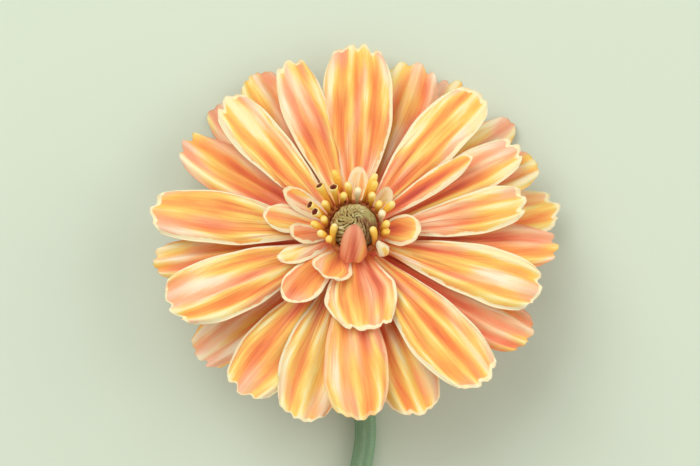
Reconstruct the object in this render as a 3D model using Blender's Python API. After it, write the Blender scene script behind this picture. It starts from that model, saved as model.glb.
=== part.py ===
"""A marigold flower, picked and laid on its back: a head of pleated orange petals on a cut green stem.

The head is modelled in its own frame, with its axis up and its middle at the origin, and is then
leaned over on the end of its stem. Heights in that frame are measured along the head's axis, and an
azimuth is counted from +X towards +Y. Tables are in millimetres and degrees, objects in metres.
"""
import math
from collections import namedtuple

import bmesh
import bpy
from mathutils import Vector

MM = 0.001

# The head's pose: its middle above the surface, and how far its face leans towards +Y
HEAD_PLACE = Vector((-0.72, 24.8, 16.0)) * MM
LEAN = math.radians(18)

# A petal's shape, shared by every whorl
WIDEST = 0.8            # share of the length where a petal is widest
TIP_WIDTH = 0.84        # width left at the tip, as a share of the widest
TIP_ROUND = 0.06        # how far the corners of the tip stand back, as a share of the length
NOTCH = 0.9 * MM        # depth of the notch that each furrow leaves in the tip
FULL_PLEAT = 0.7        # share of the length where the pleats reach their full depth
ROLL = math.radians(3)  # most that a petal leans to one side
BOW = 0.8 * MM          # most that a petal bends sideways
ROWS = (0.0, 0.16, 0.36, 0.58, 0.8, 0.93, 1.0)
SHORT_ROWS = (0.0, 0.25, 0.5, 0.75, 0.92, 1.0)

# How far up to its tip an inner petal has come at its knee: the upper ones pass under the florets first
KNEE_CLIMB_UPPER = 0.1
KNEE_CLIMB_LOWER = 0.5

# Corners that fusing leaves nearer to each other than this are merged
JOIN_STEP = 0.003 * MM

# Blades lie on the surface where they would reach below it, and bend clear over this height
FLOOR_EASE = 0.5 * MM

# root and knee are (distance from the axis, height) of the middle line's first two points
Whorl = namedtuple("Whorl", "root knee tip_height foot pleat thickness")
Petal = namedtuple("Petal", "azimuth reach width ridges level", defaults=(0.0,))
Small = namedtuple("Small", "azimuth reach height width ridges level knee", defaults=(None,))
Floret = namedtuple("Floret", "foot_azimuth azimuth reach height")

FRONT = Whorl(root=(4.2, 3.6), knee=(20, 5.3), tip_height=5.2, foot=0.18, pleat=0.55, thickness=0.75)
MIDDLE = Whorl(root=(4.6, 1.35), knee=(20, 1.9), tip_height=0.0, foot=0.18, pleat=0.55, thickness=0.75)
BACK = Whorl(root=(4.6, -0.2), knee=(20, -0.8), tip_height=-6.5, foot=0.18, pleat=0.5, thickness=0.75)
INNER = Whorl(root=(3.9, 5.7), knee=None, tip_height=None, foot=0.34, pleat=0.4, thickness=0.7)

FRONT_PETALS = (
    Petal(89, 42.0, 14.4, 4),
    Petal(51, 40.0, 11.2, 3),
    Petal(30.5, 38.6, 9.6, 3, -1.3),
    Petal(12, 34.8, 9.2, 3),
    Petal(341, 38.6, 12.0, 3),
    Petal(308.5, 40.6, 13.2, 4),
    Petal(272, 39.4, 12.4, 3),
    Petal(203, 39.6, 13.4, 4),
    Petal(173, 40.6, 11.8, 3),
    Petal(131, 39.4, 9.8, 3),
    Petal(109.5, 40.4, 9.2, 3),
)
MIDDLE_PETALS = (
    Petal(254, 39.0, 12.8, 3),
    Petal(234.5, 38.6, 12.6, 3, -1.3),
    Petal(290, 38.6, 12.0, 3),
    Petal(147, 41.2, 10.8, 3),
    Petal(118.5, 43.2, 11.0, 3),
    Petal(71.5, 42.4, 12.6, 3),
    Petal(26, 41.0, 9.8, 3),
    Petal(359, 40.6, 9.8, 3),
    Petal(329.5, 40.2, 11.6, 4),
    Petal(186, 40.2, 9.4, 3),
)
BACK_PETALS = (
    Petal(215, 38.0, 11.6, 3),
    Petal(131, 44.2, 9.0, 2),
    Petal(100, 35.0, 9.0, 2),
    Petal(61, 44.6, 10.0, 3),
    Petal(43, 44.4, 9.0, 2),
    Petal(15, 43.0, 11.4, 3),
    Petal(272, 33.0, 9.0, 2),
)
INNER_PETALS = (
    Small(169, 18.3, 7.6, 6.0, 2, -0.4),
    Small(203, 16.3, 7.8, 4.0, 1, -0.4),
    Small(228, 20.2, 7.4, 7.6, 2, -0.4),
    Small(278, 21.7, 7.6, 14.0, 4, -0.4),
    Small(358, 13.2, 8.8, 6.8, 2, -0.4),
    Small(34, 28.3, 8.0, 4.8, 2, -0.4),
    Small(48, 10.6, 9.6, 3.4, 1, 0.3),
    Small(85, 12.4, 10.0, 4.2, 1, 0.3),
    Small(151, 15.9, 9.0, 4.6, 2, 0.3),
    Small(185, 12.9, 9.4, 4.2, 1, 0.3),
    Small(243, 12.6, 9.2, 8.0, 2, 0.3),
    Small(271, 2.0, 13.9, 5.4, 2, 0.3, (11.4, 6.9)),
    Small(318, 6.15, 10.4, 2.8, 1, 0.3, (9.8, 6.8)),
)
FLORETS = (
    Floret(108, 113, 10.5, 14.0),
    Floret(126, 124, 7.2, 14.0),
    Floret(138, 137, 9.2, 14.0),
    Floret(97, 101, 6.9, 14.2),
    Floret(117, 113, 4.9, 13.8),
    Floret(84, 82, 5.6, 14.0),
    Floret(53, 52, 5.8, 14.0),
    Floret(63, 59, 8.4, 14.0),
    Floret(72, 64, 10.0, 13.6),
    Floret(36, 34, 6.0, 12.6),
    Floret(15, 11, 5.6, 13.0),
    Floret(24, 22, 8.4, 13.0),
    Floret(351, 351, 6.6, 12.8),
    Floret(341, 345, 6.9, 10.8),
    Floret(150, 150, 6.8, 12.8),
    Floret(160, 163, 9.0, 13.0),
    Floret(171, 172, 7.7, 13.2),
    Floret(181, 179, 6.0, 12.6),
    Floret(192, 187, 8.3, 12.6),
    Floret(205, 204, 7.5, 12.4),
    Floret(217, 217, 6.3, 11.4),
    Floret(229, 200, 3.8, 12.6),
    Floret(312, 332, 3.9, 12.4),
)

# Slabs of the receptacle that carry the whorls, as (radius, lowest and highest height)
SLAB_SIDES = 24
BACK_SLAB = (6.6, -1.0, 2.0)
FRONT_SLAB = (6.0, 2.3, 4.5)
INNER_SLAB = (5.6, 4.8, 7.0)
FLORET_RING = (4.95, 5.85, 7.3, 8.4)

# The green cup under the petals, as (distance from the axis, height), below its bracts and above them
CUP_BELOW = ((3.0, -7.7), (4.4, -6.9), (6.0, -5.5))
CUP_ABOVE = ((6.9, -4.3), (7.1, -1.4))

# Its bracts spread from between the two, pointed at the tip and parted down to the gap
BRACT_COUNT = 13
BRACT_REACHES = (13.0, 10.8, 7.7, 10.8)  # the rim's distance at a tip, half way, in the gap, and half way back
BRACT_RISE = 0.22                        # climb of the bracts for each millimetre outwards
BRACT_THICKNESS = 0.7

# The dome of unopened buds in the middle
DOME_RADIUS = 4.35 * MM
DOME_BASE = 7.3 * MM
DOME_HEIGHT = 6.0 * MM
DOME_BUDS = 12
DOME_RINGS = 9
BUD_RELIEF = 0.06

FLORET_SIDES = 5
FLORET_ROOT = (5.4, 7.7)
FLORET_KNEE = (0.3, 0.55)
FLORET_RADII = (0.45, 0.45, 0.85, 0.62)
FLORET_SHARES = (0.0, 0.55, 0.93, 1.0)

# The stem hangs from the cup and lies along the surface, where its line is counted from under the head's middle
STEM_RADIUS = 2.2 * MM
STEM_FLARE = 0.6 * MM
STEM_TOP = -8.25 * MM
STEM_SIDES = 14
STEM_BEND = 9 * MM
STEM_LINE = ((0.5, -20), (2.0, -31), (2.3, -38), (1.0, -46), (-1.5, -61), (-3.9, -76), (-5.5, -91.3))
BEND_POINTS = 9
LINE_POINTS = 4


def clear_scene():
    """Removes what the scene holds."""
    for thing in list(bpy.data.objects):
        bpy.data.objects.remove(thing, do_unlink=True)


def material(name, colour, roughness):
    """A plain finish: colour is linear red, green and blue."""
    finish = bpy.data.materials.new(name)
    finish.use_nodes = True
    shader = finish.node_tree.nodes["Principled BSDF"]
    shader.inputs["Base Color"].default_value = (*colour, 1)
    shader.inputs["Roughness"].default_value = roughness
    shader.inputs["Metallic"].default_value = 0
    return finish


def new_object(name, points, faces):
    """An object from points and faces, split into triangles, with its faces pointing out."""
    mesh = bpy.data.meshes.new(name)
    mesh.from_pydata(points, [], faces)
    work = bmesh.new()
    work.from_mesh(mesh)
    bmesh.ops.triangulate(work, faces=[face for face in work.faces if len(face.verts) > 3])
    bmesh.ops.recalc_face_normals(work, faces=work.faces)
    work.to_mesh(mesh)
    work.free()
    thing = bpy.data.objects.new(name, mesh)
    bpy.context.scene.collection.objects.link(thing)
    return thing


def wobble(number):
    """A value from -1 to 1 that differs from petal to petal."""
    return number * 0.618034 % 1 * 2 - 1


def pleat(across, ridges):
    """1 on each ridge of a pleated petal, and -1 in each furrow and at both edges."""
    return -math.cos(math.pi * ridges * (across + 1))


def petal_outline(along, foot):
    """A petal's width at a share of its length, as a share of its widest."""
    if along < WIDEST:
        return foot + (1 - foot) * math.sin(math.pi / 2 * along / WIDEST) ** 1.5
    past = (along - WIDEST) / (1 - WIDEST)
    return math.sqrt(1 - (1 - TIP_WIDTH ** 2) * past ** 2)


def middle_line(root, knee, tip, share):
    """A point of the curve from root to tip, as (distance from the axis, height), and its direction."""
    root, knee, tip = Vector(root), Vector(knee), Vector(tip)
    point = root * (1 - share) ** 2 + knee * 2 * share * (1 - share) + tip * share ** 2
    direction = (knee - root) * (1 - share) + (tip - knee) * share
    return point, direction.normalized()


def lay_on_surface(point, half_thickness):
    """Lifts a point of a blade's middle surface, in the head's frame, so that the blade rests on the surface."""
    height = HEAD_PLACE.z + point.z * math.cos(LEAN) - point.y * math.sin(LEAN)
    over = (height - half_thickness) / FLOOR_EASE
    eased = FLOOR_EASE * (over if over > 20 else math.log1p(math.exp(over)))
    rise = half_thickness + eased - height
    return point + Vector((0, -math.sin(LEAN), math.cos(LEAN))) * rise


def blade(name, rows):
    """A closed thin body from rows of (point, half of its thickness as a vector), split alike on both faces."""
    count = len(rows[0])
    points = []
    for side in (1, -1):
        points += [point + half * side for row in rows for point, half in row]
    under = len(rows) * count
    faces = []
    for i in range(len(rows) - 1):
        for j in range(count - 1):
            a, b = i * count + j, (i + 1) * count + j
            halves = ((a, b, b + 1), (a, b + 1, a + 1)) if j < count // 2 else ((a, b, a + 1), (b, b + 1, a + 1))
            faces += halves
            faces += [tuple(under + corner for corner in reversed(half)) for half in halves]
    rim = [i * count for i in range(len(rows))]
    rim += [(len(rows) - 1) * count + j for j in range(1, count)]
    rim += [i * count + count - 1 for i in range(len(rows) - 2, -1, -1)]
    rim += [j for j in range(count - 2, 0, -1)]
    for here, following in zip(rim, rim[1:] + rim[:1]):
        faces.append((here, following, under + following, under + here))
    return new_object(name, points, faces)


def petal_body(name, number, petal, whorl, tip_height, knee, stations=ROWS):
    """One petal, from its root inside the receptacle to its tip."""
    azimuth = math.radians(petal.azimuth)
    outward = Vector((math.cos(azimuth), math.sin(azimuth), 0))
    sideways = Vector((-math.sin(azimuth), math.cos(azimuth), 0))
    level = petal.level * MM
    root, knee, tip = (Vector(spot) * MM for spot in (whorl.root, knee, (petal.reach, tip_height)))
    notch = NOTCH * min(1, petal.width / 10) / (tip - root).length
    roll = math.tan(ROLL * wobble(number))
    bow = BOW * wobble(number + 0.5) * min(1, petal.width / 10)
    columns = max(2, 2 * petal.ridges)
    rows = []
    for along in stations:
        row = []
        for j in range(columns + 1):
            across = 2 * j / columns - 1
            ridge = pleat(across, petal.ridges)
            share = along * (1 - TIP_ROUND * across ** 2 - notch * (1 - ridge) / 2)
            spot, direction = middle_line(root, knee, tip, share)
            side = across * petal.width * MM / 2 * petal_outline(along, whorl.foot)
            swell = whorl.pleat * MM * (0.15 + 0.85 * math.sin(math.pi / 2 * min(1, along / FULL_PLEAT)) ** 2)
            lift = ridge * swell + side * roll
            up = outward * -direction.y + Vector((0, 0, direction.x))
            point = outward * spot.x + Vector((0, 0, spot.y + level * (0.6 + 0.4 * math.sqrt(along))))
            point += sideways * (side + bow * 4 * share * (1 - share)) + up * lift
            half = whorl.thickness * MM / 2
            row.append((lay_on_surface(point, half), up * half))
        rows.append(row)
    return blade(name, rows)


def turned(name, outlines):
    """A body round the head's axis with flat ends, from its outline of (distance, height) pairs on each side."""
    sides, rings = len(outlines), len(outlines[0])
    points = []
    for ring in range(rings):
        for k in range(sides):
            distance, height = outlines[k][ring]
            angle = 2 * math.pi * k / sides
            points.append(Vector((distance * math.cos(angle), distance * math.sin(angle), height)) * MM)
    faces = []
    for ring in range(rings - 1):
        for k in range(sides):
            here, beside = ring * sides + k, ring * sides + (k + 1) % sides
            faces.append((here, beside, beside + sides, here + sides))
    faces.append(tuple(range(sides)))
    faces.append(tuple(len(points) - sides + k for k in range(sides)))
    return new_object(name, points, faces)


def hoop(name, inner, outer, low, high, sides):
    """A flat-sided hoop round the head's axis."""
    section = ((inner, low), (outer, low), (outer, high), (inner, high))
    points = []
    for k in range(sides):
        angle = 2 * math.pi * k / sides
        for distance, height in section:
            points.append(Vector((distance * math.cos(angle), distance * math.sin(angle), height)) * MM)
    faces = []
    for k in range(sides):
        for corner in range(4):
            here, beside = k * 4, (k + 1) % sides * 4
            following = (corner + 1) % 4
            faces.append((here + corner, here + following, beside + following, beside + corner))
    return new_object(name, points, faces)


def tube(name, route, radii, sides):
    """A closed round body along a route of points, with a radius for each."""
    points = []
    across = None
    for k, centre in enumerate(route):
        ahead = (route[min(k + 1, len(route) - 1)] - route[max(k - 1, 0)]).normalized()
        across = ahead.orthogonal() if across is None else across
        across = (across - ahead * across.dot(ahead)).normalized()
        over = ahead.cross(across)
        for side in range(sides):
            angle = 2 * math.pi * side / sides
            points.append(centre + (across * math.cos(angle) + over * math.sin(angle)) * radii[k])
    faces = []
    for ring in range(len(route) - 1):
        for side in range(sides):
            here, beside = ring * sides + side, ring * sides + (side + 1) % sides
            faces.append((here, beside, beside + sides, here + sides))
    faces.append(tuple(range(sides)))
    faces.append(tuple(len(points) - sides + side for side in range(sides)))
    return new_object(name, points, faces)


def keep_main_body(thing):
    """Fills hollows that fusing has sealed and drops loose scraps, by keeping the largest shell."""
    work = bmesh.new()
    work.from_mesh(thing.data)
    unseen = set(work.faces)
    shells = []
    while unseen:
        shell = []
        edge_of_search = [unseen.pop()]
        while edge_of_search:
            face = edge_of_search.pop()
            shell.append(face)
            for edge in face.edges:
                for neighbour in edge.link_faces:
                    if neighbour in unseen:
                        unseen.remove(neighbour)
                        edge_of_search.append(neighbour)
        shells.append(shell)
    shells.sort(key=len)
    scraps = [face for shell in shells[:-1] for face in shell]
    bmesh.ops.delete(work, geom=scraps, context="FACES")
    bmesh.ops.remove_doubles(work, verts=work.verts, dist=JOIN_STEP)
    bmesh.ops.dissolve_degenerate(work, dist=JOIN_STEP, edges=work.edges)
    bmesh.ops.triangulate(work, faces=work.faces)
    work.to_mesh(thing.data)
    work.free()


def fuse(body, pieces):
    """Joins the pieces to the body that they grow from, and removes them."""
    pool = bpy.data.collections.new("to_fuse")
    for piece in pieces:
        pool.objects.link(piece)
    union = body.modifiers.new("fuse", "BOOLEAN")
    union.operation = "UNION"
    union.operand_type = "COLLECTION"
    union.collection = pool
    union.solver = "MANIFOLD"
    bpy.context.view_layer.update()
    joined = bpy.data.meshes.new_from_object(body.evaluated_get(bpy.context.evaluated_depsgraph_get()))
    body.modifiers.clear()
    body.data = joined
    for piece in pieces:
        bpy.data.objects.remove(piece, do_unlink=True)
    bpy.data.collections.remove(pool)
    keep_main_body(body)
    return body


def slab(name, size):
    """A round slab of the receptacle."""
    radius, low, high = size
    return turned(name, [((radius, low), (radius, high))] * SLAB_SIDES)


def whorl_of(petals, whorl, first):
    """The petals of one whorl, not yet joined."""
    return [
        petal_body("petal", first + k, petal, whorl, whorl.tip_height, whorl.knee)
        for k, petal in enumerate(petals)
    ]


def back_petals():
    """The two lower whorls, whose outer petals touch the surface."""
    body = slab("back_petals", BACK_SLAB)
    pieces = whorl_of(MIDDLE_PETALS, MIDDLE, len(FRONT_PETALS))
    pieces += whorl_of(BACK_PETALS, BACK, len(FRONT_PETALS) + len(MIDDLE_PETALS))
    return fuse(body, pieces)


def front_petals():
    """The upper whorl of long petals."""
    return fuse(slab("front_petals", FRONT_SLAB), whorl_of(FRONT_PETALS, FRONT, 0))


def inner_petals():
    """The short petals round the middle, two of them upright."""
    pieces = []
    root = Vector(INNER.root)
    for k, small in enumerate(INNER_PETALS):
        reach = Vector((small.reach, small.height)) - root
        climb = KNEE_CLIMB_UPPER if small.level > 0 else KNEE_CLIMB_LOWER
        knee = small.knee or (root.x + 0.5 * reach.x, root.y + climb * reach.y)
        pieces.append(petal_body("petal", k, small, INNER, small.height, knee, stations=SHORT_ROWS))
    return fuse(slab("inner_petals", INNER_SLAB), pieces)


def florets():
    """The yellow florets that stand round the dome, on the ring where their tubes crowd together."""
    pieces = []
    for floret in FLORETS:
        root, tip = Vector(FLORET_ROOT), Vector((floret.reach, floret.height))
        knee = Vector([root[k] + FLORET_KNEE[k] * (tip - root)[k] for k in (0, 1)])
        knee.x = max(knee.x, root.x)
        route = []
        for share in FLORET_SHARES:
            spot, _ = middle_line(root, knee, tip, share)
            angle = math.radians(floret.foot_azimuth + (floret.azimuth - floret.foot_azimuth) * share)
            route.append(Vector((spot.x * math.cos(angle), spot.x * math.sin(angle), spot.y)) * MM)
        pieces.append(tube("floret", route, [radius * MM for radius in FLORET_RADII], FLORET_SIDES))
    return fuse(hoop("florets", *FLORET_RING, SLAB_SIDES), pieces)


def disc():
    """The dome of green buds, whose rows swirl up to the top."""
    sides = 2 * DOME_BUDS
    points = []
    for ring in range(DOME_RINGS):
        climb = math.pi / 2 * ring / DOME_RINGS
        for k in range(sides):
            bud = 1 if (k + ring) % 2 else -1
            distance = DOME_RADIUS * math.cos(climb) * (1 + BUD_RELIEF * bud * (ring > 0))
            angle = 2 * math.pi * k / sides
            height = DOME_BASE + DOME_HEIGHT * math.sin(climb)
            points.append(Vector((distance * math.cos(angle), distance * math.sin(angle), height)))
    faces = [tuple(range(sides))]
    for ring in range(DOME_RINGS - 1):
        for k in range(sides):
            here, beside = ring * sides + k, ring * sides + (k + 1) % sides
            faces.append((here, beside, beside + sides))
            faces.append((here, beside + sides, here + sides))
    top = len(points)
    points.append(Vector((0, 0, DOME_BASE + DOME_HEIGHT)))
    for k in range(sides):
        faces.append((top - sides + k, top - sides + (k + 1) % sides, top))
    return new_object("disc", points, faces)


def calyx():
    """The green cup under the head, whose rim spreads into a ring of pointed bracts."""
    sides = BRACT_COUNT * len(BRACT_REACHES)
    outlines = []
    for k in range(sides):
        reach = BRACT_REACHES[k % len(BRACT_REACHES)]
        below = CUP_BELOW[-1]
        rim = below[1] + BRACT_RISE * (reach - below[0])
        outlines.append((*CUP_BELOW, (reach, rim), (reach, rim + BRACT_THICKNESS), *CUP_ABOVE))
    return turned("calyx", outlines)


def smooth_line(points, steps):
    """A smooth curve through points, with steps between each two."""
    ends = [points[0] * 2 - points[1], *points, points[-1] * 2 - points[-2]]
    line = []
    for a, b, c, d in zip(ends, ends[1:], ends[2:], ends[3:]):
        for k in range(steps):
            t = k / steps
            bend = (a * 2 - b * 5 + c * 4 - d) * t ** 2 + (b * 3 - a - c * 3 + d) * t ** 3
            line.append((b * 2 + (c - a) * t + bend) / 2)
    return [*line, points[-1]]


def stem(head):
    """The cut stem: it leaves the cup along the head's axis, bends, and lies along the surface."""
    top = head.matrix_world @ Vector((0, 0, STEM_TOP))
    axis = head.matrix_world.to_3x3() @ Vector((0, 0, 1))
    elbow = top - axis * ((top.z - STEM_RADIUS) / axis.z)
    lying = [Vector((HEAD_PLACE.x + x * MM, HEAD_PLACE.y + y * MM, STEM_RADIUS)) for x, y in STEM_LINE]
    landing = elbow + (lying[0] - elbow).normalized() * STEM_BEND
    landing.z = STEM_RADIUS
    route = []
    for k in range(BEND_POINTS):
        share = k / BEND_POINTS
        route.append(top * (1 - share) ** 2 + elbow * 2 * share * (1 - share) + landing * share ** 2)
    route += smooth_line([landing, *lying[1:]], LINE_POINTS)
    flare = [max(0, 1 - k / BEND_POINTS) ** 2 for k in range(len(route))]
    return tube("stem", route, [STEM_RADIUS + STEM_FLARE * share for share in flare], STEM_SIDES)


def build():
    """Builds the flower."""
    clear_scene()
    head = bpy.data.objects.new("head", None)
    head.location = HEAD_PLACE
    head.rotation_euler = (-LEAN, 0, 0)
    bpy.context.scene.collection.objects.link(head)
    bpy.context.view_layer.update()

    finishes = {
        "front_petals": material("front_petal", (1.0, 0.44, 0.11), 0.6),
        "back_petals": material("back_petal", (0.90, 0.30, 0.10), 0.6),
        "inner_petals": material("inner_petal", (1.0, 0.36, 0.10), 0.6),
        "florets": material("floret", (0.95, 0.60, 0.06), 0.6),
        "disc": material("disc_buds", (0.20, 0.22, 0.08), 0.75),
        "calyx": material("calyx_green", (0.18, 0.30, 0.12), 0.65),
        "stem": material("stem_green", (0.24, 0.38, 0.22), 0.6),
    }
    on_head = [calyx(), back_petals(), front_petals(), inner_petals(), florets(), disc()]
    for thing in on_head:
        thing.parent = head
    for thing in [*on_head, stem(head)]:
        thing.data.materials.clear()
        thing.data.materials.append(finishes[thing.name])
    stem_body = bpy.data.objects["stem"]
    stem_body.data.shade_smooth()
    stem_body.data.set_sharp_from_angle(angle=math.radians(40))


build()
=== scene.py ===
# %% [markdown]
# # A marigold flower, laid on its back
#
# The object is one flower head of about thirty long pleated petals, a few short ones, a ring of yellow
# florets and a green dome of buds, on a cut stem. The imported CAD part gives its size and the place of
# every petal. Here each node of that part gets a finer skin: the same curves, sampled closely enough to
# show lobed tips, thin edges and fine ridges, and painted with node materials.
#
# A scan or a sculpt could give such petals too. A formula is used instead, because a petal is a strip
# that follows one bent line, and numbers for its length, width and number of pleats are enough.

import math
from collections import namedtuple

import bpy
import numpy as np
from mathutils import Matrix, Vector


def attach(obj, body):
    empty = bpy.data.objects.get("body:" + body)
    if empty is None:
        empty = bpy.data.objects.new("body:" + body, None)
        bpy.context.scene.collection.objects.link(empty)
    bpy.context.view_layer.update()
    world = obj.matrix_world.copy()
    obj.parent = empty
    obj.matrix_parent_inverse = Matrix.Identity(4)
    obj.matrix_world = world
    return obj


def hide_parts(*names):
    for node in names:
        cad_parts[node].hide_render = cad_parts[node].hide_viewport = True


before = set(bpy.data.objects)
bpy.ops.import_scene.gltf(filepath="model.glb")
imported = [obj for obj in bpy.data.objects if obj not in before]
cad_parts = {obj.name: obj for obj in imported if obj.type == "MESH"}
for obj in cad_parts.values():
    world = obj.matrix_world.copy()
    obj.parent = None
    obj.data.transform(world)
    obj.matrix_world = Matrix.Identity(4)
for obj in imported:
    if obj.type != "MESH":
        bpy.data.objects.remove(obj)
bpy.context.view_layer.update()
MM = 0.001

# %% [markdown]
# ## The head's own frame
#
# On the real flower every petal grows from one axis. So all of the head is computed in a frame whose z
# runs along that axis, in millimetres, and one matrix then leans it over by 18 degrees and lifts it to
# its place. Working in the leaned world directly would put sines and cosines into every formula.

# %% The head's place and lean
HEAD_PLACE = Vector((-0.72, 24.8, 16.0))
LEAN = math.radians(18)
HEAD = Matrix.Translation(HEAD_PLACE) @ Matrix.Rotation(-LEAN, 4, "X")
FLOOR_EASE = 0.5  # a blade bends clear of the floor over about this height


def to_world(points):
    """Points in the head's frame, in millimetres, as points of the scene in metres."""
    turn = np.array(HEAD.to_3x3())
    return (points @ turn.T + np.array(HEAD_PLACE)) * MM


def lay_on_floor(points, half):
    """Lifts what would lie under the floor, so that the lowest blades rest on it."""
    height = HEAD_PLACE.z + points[..., 2] * math.cos(LEAN) - points[..., 1] * math.sin(LEAN)
    eased = FLOOR_EASE * np.logaddexp(0, (height - half) / FLOOR_EASE)
    rise = half + eased - height
    return points + rise[..., None] * np.array((0, -math.sin(LEAN), math.cos(LEAN)))


# %% [markdown]
# ## A piece from grids of points
#
# Petals, florets, buds and the stem are all bent sheets or tubes, so a grid of points, row by row, can
# describe each one. A piece gathers many grids in one mesh. Every point also carries a few numbers for
# the paint, such as how far along the petal it lies. Blender stores them as attributes, and a material
# reads them back. Image textures would need unwrapping, and would blur at the thin edges.

# %% Gather grids in one mesh
PAINT = ("along", "ridge", "rim", "glow", "under")


class Piece:
    """Collects grids of points, their faces and their paint numbers for one object."""

    def __init__(self):
        self.points, self.faces, self.count = [], [], 0
        self.paint = {name: [] for name in PAINT}
        self.grain = []

    def add(self, points, faces, grain, **paint):
        """Adds points, in the head's frame, and faces that index them."""
        size = len(points)
        self.points.append(points)
        self.faces += [tuple(self.count + corner for corner in face) for face in faces]
        self.grain.append(np.broadcast_to(grain, (size, 3)))
        for name in PAINT:
            self.paint[name].append(np.broadcast_to(paint.get(name, 0.0), (size,)))
        self.count += size

    def finish(self, name, material, node, place=to_world):
        """Makes the object, gives it its finish, and puts it in the CAD node's stead."""
        mesh = bpy.data.meshes.new(name)
        mesh.from_pydata(place(np.concatenate(self.points)).tolist(), [], self.faces)
        for key in PAINT:
            layer = mesh.attributes.new(key, "FLOAT", "POINT")
            layer.data.foreach_set("value", np.concatenate(self.paint[key]).astype(np.float32))
        layer = mesh.attributes.new("grain", "FLOAT_VECTOR", "POINT")
        layer.data.foreach_set("vector", np.concatenate(self.grain).astype(np.float32).ravel())
        mesh.shade_smooth()
        mesh.materials.append(material)
        thing = bpy.data.objects.new(name, mesh)
        bpy.context.scene.collection.objects.link(thing)
        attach(thing, "root")
        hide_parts(node)
        triangles = sum(len(face) - 2 for face in self.faces)
        print(f"{name}: {self.count} points, {triangles} triangles")
        return thing


def grid_faces(rows, columns, wrap=False, first=0):
    """Quads between the neighbours of a grid. wrap joins the last column to the first, as on a tube."""
    faces = []
    for i in range(rows - 1):
        for j in range(columns if wrap else columns - 1):
            a, b = i * columns + j, i * columns + (j + 1) % columns
            faces.append((first + a, first + b, first + b + columns, first + a + columns))
    return faces


# %% [markdown]
# ## The shape of one petal
#
# A marigold petal is a thin strip, narrow at its foot and widest near its tip. It has two to four pleats
# along it, and each furrow ends in a notch of the tip. Its middle line rises from the receptacle and
# bows out to the tip, so a quadratic curve with a root, a knee and a tip describes it.
#
# The pleats are a cosine across the strip. Real petals aren't that even, so each one gets its own
# seeded changes: lobes of different length, a slow wave along it, and fine ridges between the pleats.

# %% Petal curves
FULL_PLEAT = 0.7
ROLL = math.radians(3)
BOW = 0.8
PETAL_THICKNESS = 0.36
LOBE_SPREAD = 0.7    # how far a lobe of the tip may reach past its neighbours
UNEVEN = 0.09        # how far the pleats stray from even spacing
RUFFLE = 0.3         # height of the slow waves at a petal's sides
FINE_RIDGE = 0.05    # height of the fine ridges between the pleats
RIM_CURL = 0.2       # how far the last millimetre turns up

# widest and tip are shares of the length and of the width; blunt says how far the tip's corners stand back;
# cup curls the sides of a petal that is turned back, and rimless keeps its paint clear of the pale rim
Shape = namedtuple("Shape", "widest tip blunt notch cup rimless", defaults=(0, 0))
LONG = Shape(widest=0.8, tip=0.8, blunt=0.065, notch=0.95)
SHORT = Shape(widest=0.74, tip=0.68, blunt=0.11, notch=0.3)
FURTHEST = 0.996     # no lobe reaches past this share of the CAD petal's length

Whorl = namedtuple("Whorl", "root knee tip_height foot pleat")


def wobble(number):
    """A value from -1 to 1 that differs from petal to petal, the same as in the CAD part."""
    return number * 0.618034 % 1 * 2 - 1


def outline(along, foot, shape):
    """A petal's width at a share of its length, as a share of its widest."""
    rising = foot + (1 - foot) * np.sin(math.pi / 2 * np.minimum(along / shape.widest, 1)) ** 1.5
    past = np.clip((along - shape.widest) / (1 - shape.widest), 0, 1)
    return np.where(along < shape.widest, rising, np.sqrt(1 - (1 - shape.tip ** 2) * past ** 2))


def middle_line(root, knee, tip, share):
    """Points of the curve from root to tip, as (distance from the axis, height), and its direction."""
    s = share[..., None]
    point = root * (1 - s) ** 2 + knee * 2 * s * (1 - s) + tip * s ** 2
    way = (knee - root) * (1 - s) + (tip - knee) * s
    return point, way / np.linalg.norm(way, axis=-1, keepdims=True)


# %% One petal as a closed thin sheet
PETAL_ROWS = 46
COLUMNS_PER_PLEAT = 9


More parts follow.
